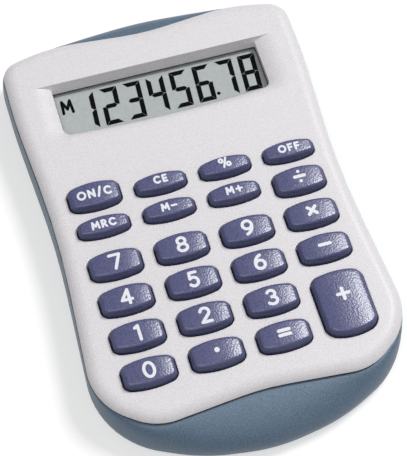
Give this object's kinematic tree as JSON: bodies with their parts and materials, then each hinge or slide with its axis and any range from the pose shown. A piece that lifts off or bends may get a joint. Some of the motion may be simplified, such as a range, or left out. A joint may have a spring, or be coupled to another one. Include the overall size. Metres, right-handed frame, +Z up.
{
  "type": "pocket calculator",
  "caption": "Basic pocket calculator with a waisted two-part housing, dished display recess and sprung push keys.",
  "frame": {"origin": "middle of the bounding box on the flat back that the calculator lies on", "axes": "+Z up out of the key faces, +Y from the keys towards the display, +X to the right of someone reading the display"},
  "size_m": [0.0726, 0.1127, 0.0138],
  "materials": {
    "cover_plastic": "pearl white, fine speckle",
    "shell_plastic": "metallic blue-grey, fine grain",
    "key_plastic": "blue-violet, soft grain, white legends",
    "mat_rubber": "moulded silicone sheet",
    "contact_carbon": "carbon-filled",
    "board_laminate": "green laminate",
    "resin": "black resin",
    "can_metal": "satin",
    "cell_steel": "bright",
    "spring_brass": "stamped strip",
    "clear_pane": "clear",
    "polariser_film": "grey film",
    "display_glass": "clear",
    "reflector_film": "silver-grey film",
    "foam": "foam",
    "ribbon_film": "flat ribbon",
    "screw_steel": "zinc plated"
  },
  "bodies": {
    "housing": {"front_cover": "cover_plastic", "rear_shell": "shell_plastic", "keypad_mat": "mat_rubber", "contact_pills": "contact_carbon", "key_contacts": "contact_carbon", "circuit_board": "board_laminate", "chip_cover": "resin", "capacitor": "can_metal", "resistor": "resin", "battery_cell": "cell_steel", "battery_spring": "spring_brass", "battery_clip": "spring_brass", "display_window": "clear_pane", "front_polariser": "polariser_film", "front_glass": "display_glass", "rear_glass": "display_glass", "rear_reflector": "reflector_film", "display_cushion": "foam", "display_ribbon": "ribbon_film", "case_screws": "screw_steel"},
    "key_0_cap": {"key_0": "key_plastic"},
    "key_1_cap": {"key_1": "key_plastic"},
    "key_2_cap": {"key_2": "key_plastic"},
    "key_3_cap": {"key_3": "key_plastic"},
    "key_4_cap": {"key_4": "key_plastic"},
    "key_5_cap": {"key_5": "key_plastic"},
    "key_6_cap": {"key_6": "key_plastic"},
    "key_7_cap": {"key_7": "key_plastic"},
    "key_8_cap": {"key_8": "key_plastic"},
    "key_9_cap": {"key_9": "key_plastic"},
    "key_point_cap": {"key_point": "key_plastic"},
    "key_equals_cap": {"key_equals": "key_plastic"},
    "key_plus_cap": {"key_plus": "key_plastic"},
    "key_minus_cap": {"key_minus": "key_plastic"},
    "key_times_cap": {"key_times": "key_plastic"},
    "key_divide_cap": {"key_divide": "key_plastic"},
    "key_memory_recall_cap": {"key_memory_recall": "key_plastic"},
    "key_memory_minus_cap": {"key_memory_minus": "key_plastic"},
    "key_memory_plus_cap": {"key_memory_plus": "key_plastic"},
    "key_on_clear_cap": {"key_on_clear": "key_plastic"},
    "key_clear_entry_cap": {"key_clear_entry": "key_plastic"},
    "key_percent_cap": {"key_percent": "key_plastic"},
    "key_off_cap": {"key_off": "key_plastic"}
  },
  "joints": [
    {"name": "key_0_press", "type": "slide", "parent": "housing", "child": "key_0_cap", "axis": [0, 0, -1], "range_m": [0, 0.001], "stiffness_N_per_m": 400, "springref_m": -0.0005, "deforming": ["keypad_mat", "contact_pills"]},
    {"name": "key_1_press", "type": "slide", "parent": "housing", "child": "key_1_cap", "axis": [0, 0, -1], "range_m": [0, 0.001], "stiffness_N_per_m": 400, "springref_m": -0.0005, "deforming": ["keypad_mat", "contact_pills"]},
    {"name": "key_2_press", "type": "slide", "parent": "housing", "child": "key_2_cap", "axis": [0, 0, -1], "range_m": [0, 0.001], "stiffness_N_per_m": 400, "springref_m": -0.0005, "deforming": ["keypad_mat", "contact_pills"]},
    {"name": "key_3_press", "type": "slide", "parent": "housing", "child": "key_3_cap", "axis": [0, 0, -1], "range_m": [0, 0.001], "stiffness_N_per_m": 400, "springref_m": -0.0005, "deforming": ["keypad_mat", "contact_pills"]},
    {"name": "key_4_press", "type": "slide", "parent": "housing", "child": "key_4_cap", "axis": [0, 0, -1], "range_m": [0, 0.001], "stiffness_N_per_m": 400, "springref_m": -0.0005, "deforming": ["keypad_mat", "contact_pills"]},
    {"name": "key_5_press", "type": "slide", "parent": "housing", "child": "key_5_cap", "axis": [0, 0, -1], "range_m": [0, 0.001], "stiffness_N_per_m": 400, "springref_m": -0.0005, "deforming": ["keypad_mat", "contact_pills"]},
    {"name": "key_6_press", "type": "slide", "parent": "housing", "child": "key_6_cap", "axis": [0, 0, -1], "range_m": [0, 0.001], "stiffness_N_per_m": 400, "springref_m": -0.0005, "deforming": ["keypad_mat", "contact_pills"]},
    {"name": "key_7_press", "type": "slide", "parent": "housing", "child": "key_7_cap", "axis": [0, 0, -1], "range_m": [0, 0.001], "stiffness_N_per_m": 400, "springref_m": -0.0005, "deforming": ["keypad_mat", "contact_pills"]},
    {"name": "key_8_press", "type": "slide", "parent": "housing", "child": "key_8_cap", "axis": [0, 0, -1], "range_m": [0, 0.001], "stiffness_N_per_m": 400, "springref_m": -0.0005, "deforming": ["keypad_mat", "contact_pills"]},
    {"name": "key_9_press", "type": "slide", "parent": "housing", "child": "key_9_cap", "axis": [0, 0, -1], "range_m": [0, 0.001], "stiffness_N_per_m": 400, "springref_m": -0.0005, "deforming": ["keypad_mat", "contact_pills"]},
    {"name": "key_point_press", "type": "slide", "parent": "housing", "child": "key_point_cap", "axis": [0, 0, -1], "range_m": [0, 0.001], "stiffness_N_per_m": 400, "springref_m": -0.0005, "deforming": ["keypad_mat", "contact_pills"]},
    {"name": "key_equals_press", "type": "slide", "parent": "housing", "child": "key_equals_cap", "axis": [0, 0, -1], "range_m": [0, 0.001], "stiffness_N_per_m": 400, "springref_m": -0.0005, "deforming": ["keypad_mat", "contact_pills"]},
    {"name": "key_plus_press", "type": "slide", "parent": "housing", "child": "key_plus_cap", "axis": [0, 0, -1], "range_m": [0, 0.001], "stiffness_N_per_m": 400, "springref_m": -0.0005, "deforming": ["keypad_mat", "contact_pills"]},
    {"name": "key_minus_press", "type": "slide", "parent": "housing", "child": "key_minus_cap", "axis": [0, 0, -1], "range_m": [0, 0.001], "stiffness_N_per_m": 400, "springref_m": -0.0005, "deforming": ["keypad_mat", "contact_pills"]},
    {"name": "key_times_press", "type": "slide", "parent": "housing", "child": "key_times_cap", "axis": [0, 0, -1], "range_m": [0, 0.001], "stiffness_N_per_m": 400, "springref_m": -0.0005, "deforming": ["keypad_mat", "contact_pills"]},
    {"name": "key_divide_press", "type": "slide", "parent": "housing", "child": "key_divide_cap", "axis": [0, 0, -1], "range_m": [0, 0.001], "stiffness_N_per_m": 400, "springref_m": -0.0005, "deforming": ["keypad_mat", "contact_pills"]},
    {"name": "key_memory_recall_press", "type": "slide", "parent": "housing", "child": "key_memory_recall_cap", "axis": [0, 0, -1], "range_m": [0, 0.001], "stiffness_N_per_m": 400, "springref_m": -0.0005, "deforming": ["keypad_mat", "contact_pills"]},
    {"name": "key_memory_minus_press", "type": "slide", "parent": "housing", "child": "key_memory_minus_cap", "axis": [0, 0, -1], "range_m": [0, 0.001], "stiffness_N_per_m": 400, "springref_m": -0.0005, "deforming": ["keypad_mat", "contact_pills"]},
    {"name": "key_memory_plus_press", "type": "slide", "parent": "housing", "child": "key_memory_plus_cap", "axis": [0, 0, -1], "range_m": [0, 0.001], "stiffness_N_per_m": 400, "springref_m": -0.0005, "deforming": ["keypad_mat", "contact_pills"]},
    {"name": "key_on_clear_press", "type": "slide", "parent": "housing", "child": "key_on_clear_cap", "axis": [0, 0, -1], "range_m": [0, 0.001], "stiffness_N_per_m": 400, "springref_m": -0.0005, "deforming": ["keypad_mat", "contact_pills"]},
    {"name": "key_clear_entry_press", "type": "slide", "parent": "housing", "child": "key_clear_entry_cap", "axis": [0, 0, -1], "range_m": [0, 0.001], "stiffness_N_per_m": 400, "springref_m": -0.0005, "deforming": ["keypad_mat", "contact_pills"]},
    {"name": "key_percent_press", "type": "slide", "parent": "housing", "child": "key_percent_cap", "axis": [0, 0, -1], "range_m": [0, 0.001], "stiffness_N_per_m": 400, "springref_m": -0.0005, "deforming": ["keypad_mat", "contact_pills"]},
    {"name": "key_off_press", "type": "slide", "parent": "housing", "child": "key_off_cap", "axis": [0, 0, -1], "range_m": [0, 0.001], "stiffness_N_per_m": 400, "springref_m": -0.0005, "deforming": ["keypad_mat", "contact_pills"]}
  ]
}
